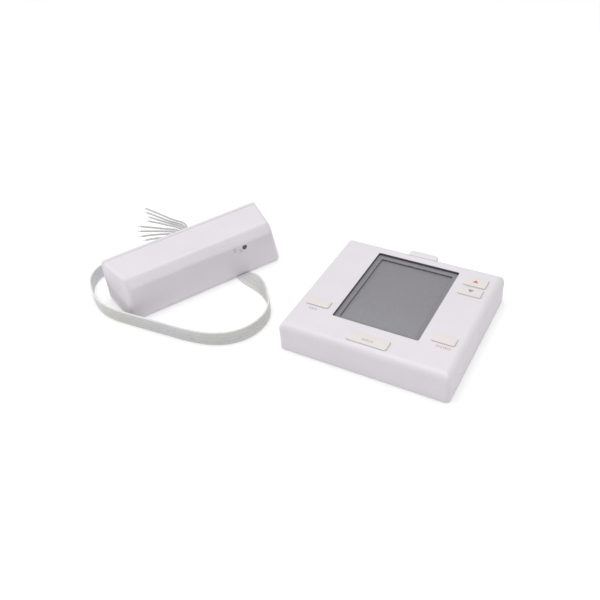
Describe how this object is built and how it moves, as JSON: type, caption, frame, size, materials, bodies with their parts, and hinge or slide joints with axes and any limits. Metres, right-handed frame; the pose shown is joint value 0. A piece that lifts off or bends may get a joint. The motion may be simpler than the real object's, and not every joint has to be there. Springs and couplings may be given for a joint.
{
  "type": "programmable timer",
  "caption": "Wireless heating timer: a square wall controller with sunken display, raised keys and battery drawer, and a long bevelled receiver box with a flat ribbon lead.",
  "frame": {"origin": "centre of the wall plate's back face, which is also the middle of the controller's outline", "axes": "+Z out of the wall through the controller's face, +X to the controller's right, +Y to its top edge"},
  "size_m": [0.3241, 0.1371, 0.035],
  "materials": {
    "shell_plastic": "satin moulded white plastic with a faint lilac cast",
    "key_plastic": "satin moulded plastic, slightly warmer white than the shell",
    "frame_plastic": "matt dark grey moulded frame",
    "window_clear": "clear scratch-resistant sheet",
    "display_glass": "grey reflective liquid crystal glass, switched off",
    "light_guide": "milky light guide",
    "black_rubber": "matt elastomer",
    "board_laminate": "green solder resist on glass-fibre laminate",
    "chip_black": "matt black moulding compound",
    "plated_steel": "bright zinc or nickel plate",
    "copper_wire": "bare copper",
    "cell_sleeve": "printed sleeve on a metal can",
    "relay_case": "moulded relay case",
    "lead_insulation": "grey-white PVC insulation",
    "light_lens": "dark tinted lens, unlit",
    "print_grey": "grey pad print",
    "print_red": "red pad print"
  },
  "bodies": {
    "wall_plate": {"wall_plate": "shell_plastic"},
    "front_unit": {"front_cover": "shell_plastic", "rear_case": "shell_plastic", "display_frame": "frame_plastic", "display_window": "window_clear", "display_panel": "display_glass", "display_backlight": "light_guide", "contact_strip": "black_rubber", "main_board": "board_laminate", "controller_chip": "chip_black", "radio_module": "board_laminate", "controller_antenna": "copper_wire", "temperature_sensor": "chip_black", "clock_crystal": "plated_steel", "up_switch": "chip_black", "down_switch": "chip_black", "system_switch": "chip_black", "hold_switch": "chip_black", "fan_switch": "chip_black", "case_screw_1": "plated_steel", "case_screw_2": "plated_steel", "case_screw_3": "plated_steel", "case_screw_4": "plated_steel"},
    "battery_drawer": {"battery_drawer": "shell_plastic", "battery_1": "cell_sleeve", "battery_2": "cell_sleeve", "drawer_bridge": "plated_steel", "contact_positive": "plated_steel", "contact_negative": "plated_steel"},
    "receiver": {"receiver_cover": "shell_plastic", "receiver_base": "shell_plastic", "receiver_board": "board_laminate", "relay_1": "relay_case", "relay_2": "relay_case", "relay_3": "relay_case", "filter_capacitor": "cell_sleeve", "receiver_radio": "board_laminate", "receiver_antenna": "copper_wire", "receiver_chip": "chip_black", "ribbon_connector": "chip_black", "status_light": "light_lens", "light_pipe": "light_lens", "receiver_screw_1": "plated_steel", "receiver_screw_2": "plated_steel", "cable_grommet": "lead_insulation", "ribbon_cable": "lead_insulation", "wire_1": "lead_insulation", "wire_2": "lead_insulation", "wire_3": "lead_insulation", "wire_4": "lead_insulation", "wire_5": "lead_insulation", "wire_6": "lead_insulation", "wire_7": "lead_insulation", "wire_8": "lead_insulation"},
    "up_button": {"up_button": "key_plastic"},
    "down_button": {"down_button": "key_plastic"},
    "system_button": {"system_button": "key_plastic"},
    "hold_button": {"hold_button": "key_plastic"},
    "fan_button": {"fan_button": "key_plastic"}
  },
  "joints": [
    {"name": "front_unit_pull_off", "type": "slide", "parent": "wall_plate", "child": "front_unit", "axis": [0, 0, 1], "range_m": [0, 0.02]},
    {"name": "battery_drawer_slide", "type": "slide", "parent": "front_unit", "child": "battery_drawer", "axis": [0, 1, 0], "range_m": [0, 0.024]},
    {"name": "receiver_lift", "type": "slide", "parent": "wall_plate", "child": "receiver", "axis": [0, 0, 1], "range_m": [0, 0.1]},
    {"name": "up_button_press", "type": "slide", "parent": "front_unit", "child": "up_button", "axis": [0, 0, -1], "range_m": [0, 0.0008], "stiffness_N_per_m": 700, "springref_m": -0.0004},
    {"name": "down_button_press", "type": "slide", "parent": "front_unit", "child": "down_button", "axis": [0, 0, -1], "range_m": [0, 0.0008], "stiffness_N_per_m": 700, "springref_m": -0.0004},
    {"name": "system_button_press", "type": "slide", "parent": "front_unit", "child": "system_button", "axis": [0, 0, -1], "range_m": [0, 0.0008], "stiffness_N_per_m": 700, "springref_m": -0.0004},
    {"name": "hold_button_press", "type": "slide", "parent": "front_unit", "child": "hold_button", "axis": [0, 0, -1], "range_m": [0, 0.0008], "stiffness_N_per_m": 700, "springref_m": -0.0004},
    {"name": "fan_button_press", "type": "slide", "parent": "front_unit", "child": "fan_button", "axis": [0, 0, -1], "range_m": [0, 0.0008], "stiffness_N_per_m": 700, "springref_m": -0.0004}
  ]
}
